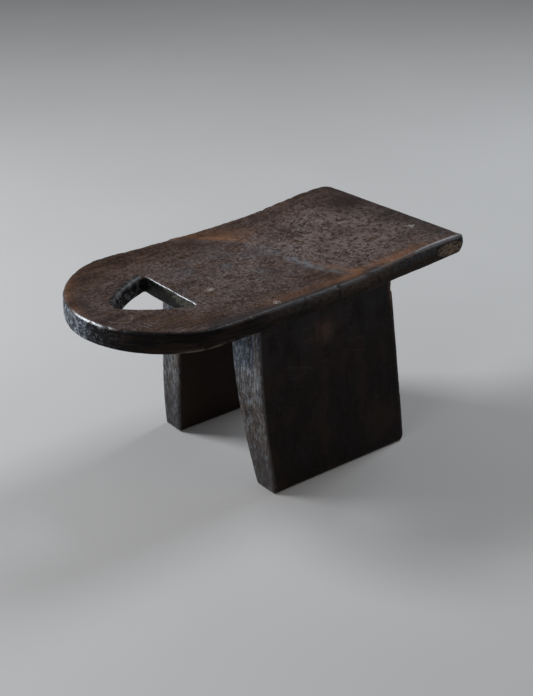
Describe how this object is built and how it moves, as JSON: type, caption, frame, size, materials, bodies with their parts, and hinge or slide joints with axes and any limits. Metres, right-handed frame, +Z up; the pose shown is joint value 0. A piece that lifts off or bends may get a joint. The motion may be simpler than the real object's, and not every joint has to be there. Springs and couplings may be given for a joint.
{
  "type": "headrest",
  "caption": "Low wooden headrest: a slab with a rounded end pierced by a triangular carry hole, on plank legs that splay outwards.",
  "frame": {"origin": "on the ground under the middle of the slab's length and width", "axes": "+X from the rounded handle end to the square rear end, +Y across to the right leg, +Z up"},
  "size_m": [0.484, 0.244, 0.2665],
  "materials": {
    "slab_wood": "satin, dark brown patina, worn to orange-brown at the edges",
    "leg_wood": "satin, near-black patina, streaked grey on the narrow faces"
  },
  "bodies": {
    "root": {"headrest_slab": "slab_wood", "left_leg": "leg_wood", "right_leg": "leg_wood"}
  },
  "joints": []
}
